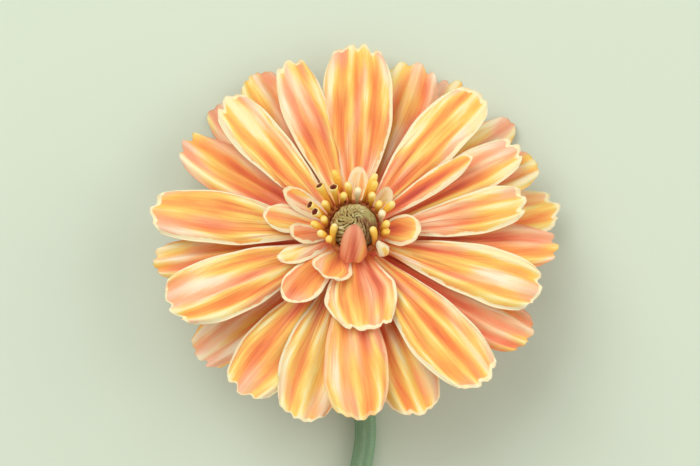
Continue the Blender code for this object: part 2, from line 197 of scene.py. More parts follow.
def petal_sheet(piece, number, petal, whorl, tip_height, knee, rows=PETAL_ROWS, shape=LONG):
    """Adds one petal to a piece: an upper and a lower skin, joined round the rim."""
    draw = np.random.default_rng(1000 + number)
    root, knee, tip = np.array(whorl.root), np.array(knee), np.array((petal.reach, tip_height))
    length = np.linalg.norm(tip - root)
    columns = COLUMNS_PER_PLEAT * max(2, petal.ridges) + 1
    along = (1 - (1 - np.linspace(0, 1, rows)) ** 1.25)[:, None]
    turn = np.linspace(-1, 1, columns)
    across = (np.sin(turn * math.pi / 2) * 0.35 + turn * 0.65)[None, :]
    stray = draw.uniform(-UNEVEN, UNEVEN, 2)
    warped = across + stray[0] * np.sin(math.pi * across) + stray[1] * np.sin(2 * math.pi * across) / 2
    ridge = -np.cos(math.pi * petal.ridges * (warped + 1))

    scale = min(1, petal.width / 10)
    lobes = draw.uniform(-LOBE_SPREAD, LOBE_SPREAD * 0.4, petal.ridges + 2) * scale * min(1, shape.notch)
    lobe = np.interp(across, np.linspace(-1, 1, petal.ridges + 2), lobes) * np.clip(ridge, -0.3, 1)
    cuts = draw.uniform(0.25, 1.5, petal.ridges + 2)
    cut = np.interp(across, np.linspace(-1, 1, petal.ridges + 2), cuts)
    notch = shape.notch * cut * scale / length * ((1 - ridge) / 2) ** 1.6
    share = along * (1 - shape.blunt * across ** 2 - notch + along ** 4 * lobe / length)
    share = np.minimum(share, FURTHEST)
    spot, way = middle_line(root, knee, tip, share)

    half_width = petal.width / 2 * outline(along, whorl.foot, shape)
    phase = draw.uniform(0, 2 * math.pi, 3)
    ragged = 0.028 * np.sin(9 * along + phase[0] + across) + 0.012 * np.sin(23 * along + phase[1] + 2 * across)
    side = across * half_width * (1 + ragged * np.abs(across))
    rim = np.minimum((1 - np.abs(across)) * half_width, (1 - along) * length * 0.92)
    swell = whorl.pleat * (0.15 + 0.85 * np.sin(math.pi / 2 * np.minimum(1, along / FULL_PLEAT)) ** 2)
    depth = np.interp(across, np.linspace(-1, 1, petal.ridges + 2), draw.uniform(0.6, 1.25, petal.ridges + 2))
    lift = ridge * swell * depth + side * math.tan(ROLL * wobble(number))
    lift = lift + RUFFLE * scale * across * np.abs(across) * along * np.sin(11 * along + phase[1])
    lift = lift + FINE_RIDGE * along * np.cos(math.pi * petal.ridges * 3 * (across + 1) + phase[2])
    lift = lift + RIM_CURL * scale * along * np.clip(1 - rim, 0, 1) ** 2 + shape.cup * across ** 2

    azimuth = math.radians(petal.azimuth)
    outward = np.array((math.cos(azimuth), math.sin(azimuth), 0))
    sideways = np.array((-math.sin(azimuth), math.cos(azimuth), 0))
    upward = np.array((0, 0, 1.0))
    up = outward * -way[..., 1:] + upward * way[..., :1]
    bow = BOW * wobble(number + 0.5) * scale
    height = spot[..., 1] + petal.level * (0.6 + 0.4 * np.sqrt(along))
    points = outward * spot[..., :1] + upward * height[..., None] + up * lift[..., None]
    points = points + sideways * (side + bow * 4 * share * (1 - share))[..., None]

    half = PETAL_THICKNESS / 2
    points = lay_on_floor(points, half)
    edge = np.clip(rim / 0.5, 0.35, 1)[..., None] * half
    spread = across * petal.width / 2  # the streaks run together towards the foot, as the petal narrows
    spread = spread + 0.8 * np.sin(4 * along + phase[0]) + 0.5 * across * np.sin(9 * along + phase[1])
    slice_of_noise = number * 7.3 + (0 if shape is LONG else petal.glow * 31)
    grain = np.stack(np.broadcast_arrays(spread, along * length, slice_of_noise), axis=-1)
    paint = dict(along=along, ridge=ridge, rim=rim + shape.rimless, glow=petal.glow)
    paint = {key: np.broadcast_to(value, (rows, columns)).ravel() for key, value in paint.items()}
    skin = grid_faces(rows, columns)
    border = [i * columns for i in range(rows)]
    border += [(rows - 1) * columns + j for j in range(1, columns)]
    border += [i * columns + columns - 1 for i in range(rows - 2, -1, -1)]
    border += list(range(columns - 2, 0, -1))
    under = rows * columns
    faces = [tuple(reversed(face)) for face in skin]
    faces += [tuple(under + corner for corner in face) for face in skin]
    for here, following in zip(border, border[1:] + border[:1]):
        faces.append((here, following, under + following, under + here))
    both = np.concatenate([(points + up * edge).reshape(-1, 3), (points - up * edge).reshape(-1, 3)])
    paint = {key: np.tile(value, 2) for key, value in paint.items()}
    paint["under"] = np.repeat((1.0, 0.0) if shape.cup else (0.0, 1.0), under)
    piece.add(both, faces, np.tile(grain.reshape(-1, 3), (2, 1)), **paint)


# %% [markdown]
# ## Where each petal sits
#
# The picture shows every long petal, so each has its own row: its direction round the axis, how far it
# reaches, its width, its number of pleats, a height for the ones that pass under a neighbour, and how
# golden it is (0 is salmon, 1 is pale yellow). The first five are the CAD part's own values. A rule such
# as a golden angle would give an even star, and this flower isn't even.

# %% Tables of the long petals
Petal = namedtuple("Petal", "azimuth reach width ridges level glow")

FRONT = Whorl(root=(4.2, 3.6), knee=(20, 5.3), tip_height=5.2, foot=0.18, pleat=0.55)
MIDDLE = Whorl(root=(4.6, 1.35), knee=(20, 1.9), tip_height=0.0, foot=0.18, pleat=0.55)
BACK = Whorl(root=(4.6, -0.2), knee=(20, -0.8), tip_height=-6.5, foot=0.18, pleat=0.5)

FRONT_PETALS = (
    Petal(89, 42.0, 14.4, 4, 0, 0.6),
    Petal(51, 40.0, 11.2, 3, 0, 0.75),
    Petal(30.5, 38.6, 9.6, 3, -1.3, 0.65),
    Petal(12, 34.8, 9.2, 3, 0, 0.7),
    Petal(341, 38.6, 12.0, 3, 0, 0.8),
    Petal(308.5, 40.6, 13.2, 4, 0, 0.8),
    Petal(272, 39.4, 12.4, 3, 0, 0.5),
    Petal(203, 39.6, 13.4, 4, 0, 0.85),
    Petal(173, 40.6, 11.8, 3, 0, 0.78),
    Petal(131, 39.4, 9.8, 3, 0, 0.75),
    Petal(109.5, 40.4, 9.2, 3, 0, 0.6),
)
MIDDLE_PETALS = (
    Petal(254, 39.0, 12.8, 3, 0, 0.68),
    Petal(234.5, 38.6, 12.6, 3, -1.3, 0.6),
    Petal(290, 38.6, 12.0, 3, 0, 0.58),
    Petal(147, 41.2, 10.8, 3, 0, 0.3),
    Petal(118.5, 43.2, 11.0, 3, 0, 0.42),
    Petal(71.5, 42.4, 12.6, 3, 0, 0.25),
    Petal(26, 41.0, 9.8, 3, 0, 0.42),
    Petal(359, 40.6, 9.8, 3, 0, 0.3),
    Petal(329.5, 40.2, 11.6, 4, 0, 0.2),
    Petal(186, 40.2, 9.4, 3, 0, 0.28),
)
BACK_PETALS = (
    Petal(215, 38.0, 11.6, 3, 0, 0.3),
    Petal(131, 44.2, 9.0, 2, 0, 0.35),
    Petal(100, 35.0, 9.0, 2, 0, 0.1),
    Petal(61, 44.6, 10.0, 3, 0, 0.45),
    Petal(43, 44.4, 9.0, 2, 0, 0.3),
    Petal(15, 43.0, 11.4, 3, 0, 0.65),
    Petal(272, 33.0, 9.0, 2, 0, 0.0),
)
print(len(FRONT_PETALS) + len(MIDDLE_PETALS) + len(BACK_PETALS), "long petals")

# %% [markdown]
# ## Paint that follows a petal
#
# A real petal's colour runs in streaks from foot to tip. On top of them the paint lays a painted highlight on the
# ridges and painted shade in the furrows. It darkens the foot, partly with the petal's own coral and partly as
# painted shade where the feet lie between other petals. It pales the rim, partly as the petal's paler margin
# and partly as a painted highlight where the edge catches light. A material can do that with noise that is
# stretched along the petal. The grain attribute holds the place on the petal in millimetres, across and
# along, so the streaks turn with each petal. Noise in scene coordinates would run straight through all of them.

# %% Helpers that wire shader nodes
def linear(code):
    """A colour written as rrggbb, as linear red, green, blue and alpha."""
    values = [int(code[k:k + 2], 16) / 255 for k in (0, 2, 4)]
    return (*[v / 12.92 if v < 0.04045 else ((v + 0.055) / 1.055) ** 2.4 for v in values], 1.0)


class Finish:
    """A material under construction. Each method adds one node and returns its output."""

    def __init__(self, name, roughness):
        self.material = bpy.data.materials.new(name)
        self.material.use_nodes = True
        self.tree = self.material.node_tree
        self.shader = self.tree.nodes["Principled BSDF"]
        self.shader.inputs["Roughness"].default_value = roughness

    def put(self, socket, value):
        if isinstance(value, bpy.types.NodeSocket):
            self.tree.links.new(value, socket)
        else:
            socket.default_value = value

    def read(self, name):
        node = self.tree.nodes.new("ShaderNodeAttribute")
        node.attribute_name = name
        return node.outputs["Vector" if name == "grain" else "Fac"]

    def math(self, operation, a, b=0.0, clamp=False):
        node = self.tree.nodes.new("ShaderNodeMath")
        node.operation = operation
        node.use_clamp = clamp
        self.put(node.inputs[0], a)
        self.put(node.inputs[1], b)
        return node.outputs[0]

    def total(self, *terms):
        """The sum of (value, weight) pairs and plain numbers."""
        result = sum(term for term in terms if not isinstance(term, tuple))
        for value, weight in (term for term in terms if isinstance(term, tuple)):
            result = self.math("ADD", self.math("MULTIPLY", value, weight), result)
        return result

    def between(self, value, low, high):
        """0 below low and 1 above high, smooth between. low may be the higher one."""
        node = self.tree.nodes.new("ShaderNodeMapRange")
        node.interpolation_type = "SMOOTHSTEP"
        self.put(node.inputs["Value"], value)
        self.put(node.inputs["From Min"], min(low, high))
        self.put(node.inputs["From Max"], max(low, high))
        self.put(node.inputs["To Min"], 0.0 if low < high else 1.0)
        self.put(node.inputs["To Max"], 1.0 if low < high else 0.0)
        return node.outputs["Result"]

    def noise(self, vector, stretch, detail=2.0):
        """Noise from 0 to 1 over a vector, multiplied by stretch on each axis first."""
        scaled = self.tree.nodes.new("ShaderNodeVectorMath")
        scaled.operation = "MULTIPLY"
        self.put(scaled.inputs[0], vector)
        scaled.inputs[1].default_value = stretch
        node = self.tree.nodes.new("ShaderNodeTexNoise")
        node.inputs["Scale"].default_value = 1.0
        node.inputs["Detail"].default_value = detail
        self.put(node.inputs["Vector"], scaled.outputs[0])
        return node.outputs["Fac"]

    def ramp(self, value, *stops):
        """A colour from (place, rrggbb) stops."""
        node = self.tree.nodes.new("ShaderNodeValToRGB")
        elements = node.color_ramp.elements
        while len(elements) < len(stops):
            elements.new(0.5)
        for element, (place, code) in zip(elements, stops):
            element.position = place
        for element, (place, code) in zip(elements, stops):
            element.color = linear(code)
        self.put(node.inputs["Fac"], value)
        return node.outputs["Color"]

    def mix(self, factor, a, b):
        node = self.tree.nodes.new("ShaderNodeMix")
        node.data_type = "RGBA"
        self.put(node.inputs["Factor"], factor)
        for name, value in (("A", a), ("B", b)):
            socket = next(s for s in node.inputs if s.name == name and s.type == "RGBA")
            self.put(socket, linear(value) if isinstance(value, str) else value)
        return next(s for s in node.outputs if s.type == "RGBA")

    def colour(self, value):
        self.put(self.shader.inputs["Base Color"], value)

    def bump(self, height, depth, strength=0.6):
        """Relief of the given depth in metres."""
        node = self.tree.nodes.new("ShaderNodeBump")
        node.inputs["Strength"].default_value = strength
        node.inputs["Distance"].default_value = depth
        self.put(node.inputs["Height"], height)
        self.put(self.shader.inputs["Normal"], node.outputs["Normal"])


# %% The petals' finish
GOLDEN = ((0.0, "c4503a"), (0.16, "e27448"), (0.32, "f6904e"), (0.46, "fba45a"),
          (0.6, "fdb964"), (0.74, "ffcd6a"), (0.87, "ffdf88"), (1.0, "ffefb8"))
PEACH = ((0.0, "bc4e3e"), (0.16, "dc6e52"), (0.32, "f08b62"), (0.46, "f8a076"),
         (0.6, "fbb388"), (0.74, "fdc69a"), (0.87, "fedab2"), (1.0, "ffeed2"))
TONE_LEVEL = -1.01


def petal_finish(name, level, foot, foot_reach, foot_share, rim_width, rim_change, rim_from):
    """Streaks of colour along each petal, a painted highlight on the ridges and painted shade in the furrows, a darker
    foot that is partly the petal's own coral and partly painted shade, and a pale rim of a width in millimetres,
    partly the paler margin and partly a painted highlight.
    """
    made = Finish(name, 0.62)
    grain, along, ridge = made.read("grain"), made.read("along"), made.read("ridge")
    rim, glow, under = made.read("rim"), made.read("glow"), made.read("under")
    bands = made.noise(grain, (0.2, 0.07, 1.0), 1.0)
    hues = made.noise(grain, (0.26, 0.06, 2.3), 1.0)
    strokes = made.noise(grain, (0.75, 0.09, 1.0), 4.0)
    veins = made.noise(grain, (4.5, 0.12, 1.0), 2.0)
    edge = made.between(rim, 2.4, 0.3)
    # ridge lifts the tone, a painted highlight on the ridges; edge lifts it near the rim, partly the paler margin and
    # partly a painted highlight
    tone = made.total(TONE_LEVEL + level, (ridge, 0.15), (along, 0.36), (glow, 0.34), (bands, 1.3),
                      (strokes, 0.85), (veins, 0.3), (edge, 0.08))
    peach = made.between(made.total((hues, 1.0), (glow, -0.3)), 0.26, 0.46)
    peach = made.math("MULTIPLY", peach, made.between(glow, 0.05, 0.2))
    paint = made.mix(peach, made.ramp(tone, *GOLDEN), made.ramp(tone, *PEACH))

    # Painted shade in the furrows: coral where the pleats fold down, inside the rim and towards the foot
    inside = made.between(rim, 0.9, 1.8)
    furrow_shade = made.math("MULTIPLY", made.between(ridge, -0.55, -1.0), inside)
    furrow_shade = made.math("MULTIPLY", furrow_shade, made.between(strokes, 0.35, 0.6))
    furrow_shade = made.math("MULTIPLY", furrow_shade, made.between(along, 1.0, 0.45))
    paint = made.mix(made.math("MULTIPLY", furrow_shade, 0.62), paint, "dc6844")
    line = made.between(made.noise(grain, (2.6, 0.05, 1.0), 1.0), 0.58, 0.68)
    line = made.math("MULTIPLY", line, made.between(along, 1.0, 0.3))
    paint = made.mix(made.math("MULTIPLY", line, 0.55), paint, "cf5f40")
    # The darker foot is partly the petal's own coral and partly painted shade where the feet lie between other petals
    foot_tint_and_shade = made.math("MULTIPLY", made.between(along, foot_reach, 0.05), foot_share)
    foot_tint_and_shade = made.math("MULTIPLY", foot_tint_and_shade, made.between(strokes, 0.75, 0.3))
    paint = made.mix(foot_tint_and_shade, paint, foot)

    blush = made.math("MULTIPLY", made.between(along, 0.78, 1.0), made.between(hues, 0.46, 0.6))
    paint = made.mix(made.math("MULTIPLY", blush, 0.6), paint, "f5a283")

    # The cream rim is partly the petal's paler margin and partly a painted highlight where the edge catches light
    patch = made.noise(grain, (0.12, 0.09, 1.0), 1.0)
    nicks = made.noise(grain, (0.5, 0.45, 1.0), 2.0)
    reach = made.total((-0.4 - 0.5 * rim_change) * rim_width, (along, 0.7 * rim_width),
                       (patch, rim_change * rim_width), (strokes, 0.5 * rim_width), (nicks, 1.5 * rim_width))
    pale = made.between(made.math("SUBTRACT", reach, rim), -0.1, 0.08)
    pale = made.math("MULTIPLY", pale, made.between(along, 0.12, 0.4))
    pale = made.math("MULTIPLY", pale, made.between(glow, rim_from, rim_from + 0.25))
    paint = made.mix(pale, paint, "ffefc4")
    paint = made.mix(made.math("MULTIPLY", under, 0.45), paint, "f2a070")
    made.colour(paint)
    made.bump(made.total((veins, 0.6), (strokes, 0.4)), 0.00012)
    made.shader.inputs["Subsurface Weight"].default_value = 0.3
    made.shader.inputs["Subsurface Radius"].default_value = (1.0, 0.4, 0.2)
    made.shader.inputs["Subsurface Scale"].default_value = 0.0015
    made.shader.inputs["Sheen Weight"].default_value = 0.1
    made.shader.inputs["Specular IOR Level"].default_value = 0.3
    return made.material


# The foot colour, reach and share set the darker foot, partly own coral and partly painted shade; the back whorls lie
# in the gaps and get more of it
front_paint = petal_finish("front_petal_paint", 0.0, "e66a46", 0.45, 0.8, 0.55, 3.0, 0.4)
back_paint = petal_finish("back_petal_paint", 0.02, "f4644e", 0.62, 0.95, 0.45, 3.0, 0.4)

# %% [markdown]
# ## The receptacle
#
# On the real head all petals stand on one fleshy disc that can't be seen. It still has to be there,
# because a look from the side passes between the petals. Each whorl gets its own slab, like the one in
# the CAD part, turned round the axis as on a lathe and smoothed at its edges.

# %% Turned bodies round the axis
SLAB_SIDES = 48
SLAB_EDGE = 0.3
BACK_SLAB = (6.6, -1.0, 2.0)
FRONT_SLAB = (6.0, 2.3, 4.5)
INNER_SLAB = (5.6, 4.8, 7.0)


def turned(piece, profile, sides, grain_scale=1.0, **paint):
    """Adds a body round the axis from (distance, height) pairs. Its ends are closed."""
    angle = np.arange(sides) * 2 * math.pi / sides
    distance = np.array([spot[0] for spot in profile])[:, None]
    height = np.array([spot[1] for spot in profile])[:, None]
    points = np.stack(np.broadcast_arrays(distance * np.cos(angle), distance * np.sin(angle), height), axis=-1)
    faces = grid_faces(len(profile), sides, wrap=True)
    faces.append(tuple(reversed(range(sides))))
    faces.append(tuple((len(profile) - 1) * sides + k for k in range(sides)))
    points = points.reshape(-1, 3)
    piece.add(points, faces, points * grain_scale, **paint)


def slab(piece, size):
    """Adds a round slab with softened edges."""
    radius, low, high = size
    profile = ((radius - SLAB_EDGE, low), (radius, low + SLAB_EDGE), (radius, high - SLAB_EDGE))
    turned(piece, (*profile, (radius - SLAB_EDGE, high)), SLAB_SIDES, rim=9.0, along=0.05)


# %% [markdown]
# ## The long petals
#
# The CAD part keeps the upper whorl in one node and the two lower whorls in another, and the pieces
# here follow it. The lower petals curve down until their tips lie on the floor.

# %% Front and back petals
def whorl_of(piece, petals, whorl, first):
    """Adds the petals of one whorl. They are numbered on from first, which seeds each one's changes."""
    for k, petal in enumerate(petals):
        petal_sheet(piece, first + k, petal, whorl, whorl.tip_height, whorl.knee)


front = Piece()
slab(front, FRONT_SLAB)
whorl_of(front, FRONT_PETALS, FRONT, 0)
front.finish("front_petal_whorl", front_paint, "front_petals")

back = Piece()
slab(back, BACK_SLAB)
whorl_of(back, MIDDLE_PETALS, MIDDLE, len(FRONT_PETALS))
whorl_of(back, BACK_PETALS, BACK, len(FRONT_PETALS) + len(MIDDLE_PETALS))
back.finish("back_petal_whorls", back_paint, "back_petals")

# %% [markdown]
# ## The inner petals
#
# Round the dome stand short petals with broad cream edges, partly their paler margin and partly a painted
# highlight, and one of them is still curled up like a bud. They are built as the long ones are, from the same
# curve, but each has its own height. The upper ones first pass under the florets, so their knee lies low.

# %% Inner petals
Small = namedtuple("Small", "azimuth reach height width ridges level glow shape knee", defaults=(SHORT, None))
INNER = Whorl(root=(3.9, 5.7), knee=None, tip_height=None, foot=0.34, pleat=0.28)
BROAD = Shape(widest=0.66, tip=0.76, blunt=0.075, notch=1.1)
BUD = Shape(widest=0.64, tip=0.6, blunt=0.06, notch=0, cup=0.5, rimless=9)
CURL = Shape(widest=0.6, tip=0.5, blunt=0.06, notch=0, cup=0.3)
KNEE_CLIMB_UPPER = 0.1
KNEE_CLIMB_LOWER = 0.5
INNER_PETALS = (
    Small(169, 18.3, 7.6, 6.0, 2, -0.4, 0.55),
    Small(203, 16.3, 7.8, 4.0, 1, -0.4, 0.6),
    Small(228, 20.2, 7.4, 7.6, 2, -0.4, 0.5),
    Small(278, 21.7, 7.6, 14.0, 4, -0.4, 0.85, BROAD),
    Small(358, 13.2, 8.8, 6.8, 2, -0.4, 0.5),
    Small(34, 28.3, 8.0, 4.8, 2, -0.4, 0.55),
    Small(48, 10.6, 9.6, 3.4, 1, 0.3, 0.5),
    Small(85, 12.4, 10.0, 4.2, 1, 0.3, 0.12),
    Small(151, 15.9, 9.0, 4.6, 2, 0.3, 0.5),
    Small(185, 12.9, 9.4, 4.2, 1, 0.3, 0.45),
    Small(243, 12.6, 9.2, 8.0, 2, 0.3, 0.4),
    Small(271, 2.0, 13.9, 5.4, 2, 0.3, 0.34, BUD, (11.4, 6.9)),
    Small(318, 6.0, 10.4, 2.7, 1, 0.3, 0.9, CURL, (11.6, 6.9)),
)
SMALL_ROWS = 34

# The inner petals' darker foot is partly painted shade at their base round the florets
inner_paint = petal_finish("inner_petal_paint", -0.1, "e2623e", 0.42, 0.9, 0.66, 0.9, -0.15)
inner = Piece()
slab(inner, INNER_SLAB)
for k, small in enumerate(INNER_PETALS):
    root = INNER.root
    climb = KNEE_CLIMB_UPPER if small.level > 0 else KNEE_CLIMB_LOWER
    knee = small.knee or (root[0] + 0.5 * (small.reach - root[0]), root[1] + climb * (small.height - root[1]))
    whorl = INNER._replace(pleat=-INNER.pleat) if small.shape.cup else INNER
    petal_sheet(inner, k, small, whorl, small.height, knee, SMALL_ROWS, small.shape)
inner.finish("inner_petal_ring", inner_paint, "inner_petals")

# %% [markdown]
# ## The florets
#
# Each yellow club in the middle is a flower of its own: a narrow tube that widens to a small mouth with
# five teeth. Most are still closed. A few at the upper left are open and show a dark throat. A tube
# along a bent line, with a radius at each station, gives both kinds: the open one turns back inside.

# %% Tubes along a line
def tube_points(route, radii, sides, tooth=None, ahead=None):
    """A grid of points round a route. tooth, one number a station, pushes out five ribs.

    ahead gives the tube's direction where the route turns back, as it does inside a mouth."""
    route = np.array(route, float)
    ahead = np.gradient(route, axis=0) if ahead is None else ahead
    ahead = ahead / np.linalg.norm(ahead, axis=1, keepdims=True)
    across = np.cross(ahead[0], (0.3, 0.9, 0.2))
    angle = np.arange(sides) * 2 * math.pi / sides
    rings = []
    for k, centre in enumerate(route):
        across = across - ahead[k] * np.dot(across, ahead[k])
        across /= np.linalg.norm(across)
        over = np.cross(ahead[k], across)
        radius = radii[k] * (1 + (tooth[k] * np.cos(5 * angle) if tooth is not None else 0))
        rings.append(centre + (radius * np.cos(angle))[:, None] * across + (radius * np.sin(angle))[:, None] * over)
    return np.concatenate(rings)


def closed_tube(rings, sides):
    """Faces of a tube with both ends closed."""
    faces = grid_faces(rings, sides, wrap=True)
    faces.append(tuple(reversed(range(sides))))
    faces.append(tuple((rings - 1) * sides + k for k in range(sides)))
    return faces


# %% Florets on their ring
Floret = namedtuple("Floret", "foot_azimuth azimuth reach height mouth", defaults=("closed",))
FLORETS = (
    Floret(108, 113, 10.5, 14.0),
    Floret(126, 124, 7.2, 14.0, "open"),
    Floret(138, 137, 9.2, 14.0, "open"),
    Floret(97, 101, 6.9, 14.2),
    Floret(117, 113, 4.9, 13.8),
    Floret(84, 82, 5.6, 14.0, "cream"),
    Floret(53, 52, 5.8, 14.0),
    Floret(63, 59, 8.4, 14.0),
    Floret(72, 64, 10.0, 13.6),
    Floret(36, 34, 6.0, 12.6),
    Floret(15, 11, 5.6, 13.0, "cream"),
    Floret(24, 22, 8.4, 13.0),
    Floret(351, 351, 6.6, 12.8),
    Floret(341, 345, 6.9, 10.8),
    Floret(150, 150, 6.8, 12.8),
    Floret(160, 163, 9.0, 13.0, "open"),
    Floret(171, 172, 7.7, 13.2, "open"),
    Floret(181, 179, 6.0, 12.6),
    Floret(192, 187, 8.3, 12.6),
    Floret(205, 204, 7.5, 12.4),
    Floret(217, 217, 6.3, 11.4),
    Floret(229, 200, 3.8, 12.6),
    Floret(312, 332, 3.9, 12.4),
)
FLORET_ROOT = (5.4, 7.7)
FLORET_KNEE = (0.3, 0.55)
FLORET_RING = (4.95, 5.85, 7.3, 8.4)
FLORET_SIDES = 20
CLUB = ((0.0, 0.4, 0.0), (0.22, 0.38, 0.0), (0.38, 0.46, 0.01), (0.52, 0.58, 0.02), (0.66, 0.68, 0.03),
        (0.78, 0.74, 0.04), (0.87, 0.72, 0.05), (0.93, 0.62, 0.06), (0.965, 0.48, 0.06), (0.99, 0.28, 0.04),
        (1.0, 0.08, 0.0))
OPEN = ((0.0, 0.4, 0.0), (0.3, 0.42, 0.0), (0.55, 0.52, 0.02), (0.75, 0.66, 0.03), (0.88, 0.78, 0.04),
        (0.96, 0.86, 0.05), (1.0, 0.88, 0.08), (1.012, 0.8, 0.08), (1.0, 0.66, 0.06), (0.95, 0.52, 0.03),
        (0.88, 0.4, 0.0), (0.8, 0.1, 0.0))
THROAT = 8  # stations of an open floret from here on lie inside its mouth


def floret_route(floret, shares):
    """Points of a floret's middle line at the given shares of its length."""
    root, tip = np.array(FLORET_ROOT), np.array((floret.reach, floret.height))
    knee = root + np.array(FLORET_KNEE) * (tip - root)
    knee[0] = max(knee[0], root[0])
    spot, _ = middle_line(root, knee, tip, np.array(shares))
    angle = np.radians(floret.foot_azimuth + (floret.azimuth - floret.foot_azimuth) * np.array(shares))
    return np.stack([spot[:, 0] * np.cos(angle), spot[:, 0] * np.sin(angle), spot[:, 1]], axis=-1)


floret_piece = Piece()
low_in, low_out, ring_low, ring_high = FLORET_RING
RING_PROFILE = ((low_in, ring_low), (low_out, ring_low), (low_out, ring_high), (low_in, ring_high), (low_in, ring_low))
for k, floret in enumerate(FLORETS):
    stations = OPEN if floret.mouth == "open" else CLUB
    shares = [station[0] for station in stations]
    order = np.maximum.accumulate(shares)
    route = floret_route(floret, shares)
    ahead = floret_route(floret, order) - floret_route(floret, order - 0.04)
    points = tube_points(route, [s[1] for s in stations], FLORET_SIDES, [s[2] for s in stations], ahead)
    along = np.repeat(order, FLORET_SIDES)
    throat = np.repeat(np.arange(len(stations)) >= THROAT if floret.mouth == "open" else [False] * len(stations),
                       FLORET_SIDES)
    glow = 1.0 if floret.mouth == "cream" else 0.5 + 0.3 * wobble(k)
    floret_piece.add(points, closed_tube(len(stations), FLORET_SIDES), points + k * 5.0,
                     along=along, glow=glow, under=throat.astype(float))

# %% The florets' finish
floret_finish = Finish("floret_paint", 0.5)
along, glow = floret_finish.read("along"), floret_finish.read("glow")
speck = floret_finish.noise(floret_finish.read("grain"), (1.6, 1.6, 1.6), 3.0)
tip_glow = floret_finish.between(along, 0.72, 1.0)
tone = floret_finish.total(-0.3, (along, 0.62), (glow, 0.3), (speck, 0.5), (tip_glow, 0.14))
yellow = floret_finish.ramp(tone, (0.0, "8a4526"), (0.16, "cc7234"), (0.34, "eda040"), (0.52, "f8bf42"),
                            (0.72, "ffd65c"), (0.9, "ffe88c"), (1.0, "fff4c8"))
yellow = floret_finish.mix(floret_finish.between(glow, 0.9, 1.0), yellow, "fff0c4")
yellow = floret_finish.mix(floret_finish.read("under"), yellow, "8c3f24")
floret_finish.colour(yellow)
floret_finish.bump(speck, 0.00008)

ring = np.array(RING_PROFILE)
angle = np.arange(SLAB_SIDES) * 2 * math.pi / SLAB_SIDES
ring_points = np.stack([ring[:, :1] * np.cos(angle), ring[:, :1] * np.sin(angle), np.repeat(ring[:, 1:], SLAB_SIDES, 1)],
                       axis=-1)[:4].reshape(-1, 3)
ring_faces = grid_faces(4, SLAB_SIDES, wrap=True)
ring_faces += [(3 * SLAB_SIDES + k, 3 * SLAB_SIDES + (k + 1) % SLAB_SIDES, (k + 1) % SLAB_SIDES, k)
               for k in range(SLAB_SIDES)]
floret_piece.add(ring_points, ring_faces, ring_points, along=0.15, glow=0.3)
floret_piece.finish("floret_ring", floret_finish.material, "florets")

# %% [markdown]
# ## The dome of buds
#
# The middle of the disc is a dome of buds that haven't opened, packed in spirals and bent towards the
# top. A pattern of bumps on a dome would look printed, so each bud is a small pod of its own, placed
# by the golden angle, which is how such a head really packs them, and laid over along its spiral.

# %% Buds on the dome
DOME_RADIUS = 4.35
DOME_BASE = 7.3
DOME_HEIGHT = 6.0
GOLDEN_ANGLE = math.radians(137.508)
BUD_COUNT = 210
BUD_SIDES = 8
BUD_RINGS = 8
SWIRL = math.radians(48)  # how far a bud leans from the way to the top

disc = Piece()
profile = [(DOME_RADIUS * 0.9 * math.cos(t), DOME_BASE + (DOME_HEIGHT - 0.6) * math.sin(t))
           for t in np.linspace(0, math.pi / 2 * 0.97, 12)]
# The core shows only between the buds; its dark brown is painted shade in those gaps
turned(disc, profile, SLAB_SIDES, under=0.6)
bud_draw = np.random.default_rng(31)
for k in range(BUD_COUNT):
    climb = math.asin(((k + 0.5) / BUD_COUNT) ** 0.9 * 0.985)
    around = k * GOLDEN_ANGLE
    radial = np.array((math.cos(around), math.sin(around), 0))
    level = np.array((-math.sin(around), math.cos(around), 0))
    seat = radial * DOME_RADIUS * 0.9 * math.cos(climb) + np.array((0, 0, DOME_BASE + (DOME_HEIGHT - 0.6) * math.sin(climb)))
    rise = -radial * DOME_RADIUS * math.sin(climb) + np.array((0, 0, DOME_HEIGHT * math.cos(climb)))
    rise /= np.linalg.norm(rise)
    normal = np.cross(level, rise)
    lean = SWIRL * (0.35 + 0.65 * math.cos(climb)) + bud_draw.uniform(-0.35, 0.35)
    way = rise * math.cos(lean) + level * math.sin(lean)
    size = (0.6 + 0.4 * math.cos(climb)) * bud_draw.uniform(0.8, 1.15)
    share = np.linspace(0, 1, BUD_RINGS)
    arch = 0.12 + np.sin(share * math.pi) * 0.34 * size
    route = seat + (share[:, None] - 0.35) * 2.3 * size * way + arch[:, None] * normal
    radii = 0.33 * size * np.sin(math.pi * (0.06 + 0.9 * share)) ** 0.75
    points = tube_points(route, radii, BUD_SIDES)
    disc.add(points, closed_tube(BUD_RINGS, BUD_SIDES), points, along=np.repeat(share, BUD_SIDES),
             glow=0.5 + 0.5 * wobble(k), ridge=math.sin(climb))

disc_finish = Finish("bud_paint", 0.7)
along, glow = disc_finish.read("along"), disc_finish.read("glow")
speck = disc_finish.noise(disc_finish.read("grain"), (2.2, 2.2, 2.2), 3.0)
arcs = disc_finish.noise(disc_finish.read("grain"), (0.28, 0.8, 0.8), 2.0)
tone = disc_finish.total(-1.15, (along, 0.35), (glow, 0.25), (speck, 0.5), (arcs, 2.2))
olive = disc_finish.ramp(tone, (0.0, "7e5030"), (0.22, "a07a46"), (0.42, "b39c5c"), (0.62, "baab6c"),
                         (0.82, "ccbd84"), (1.0, "e0d2a2"))
olive = disc_finish.mix(disc_finish.math("MULTIPLY", disc_finish.between(glow, 0.65, 0.95), 0.3), olive, "a0a872")
olive = disc_finish.mix(disc_finish.math("MULTIPLY", disc_finish.between(glow, 0.3, 0.1), 0.55), olive, "8e6240")
# Dark brown on the core: painted shade between the buds
olive = disc_finish.mix(disc_finish.read("under"), olive, "5a3a22")
disc_finish.colour(olive)
disc_finish.bump(speck, 0.0001)
disc.finish("bud_dome", disc_finish.material, "disc")

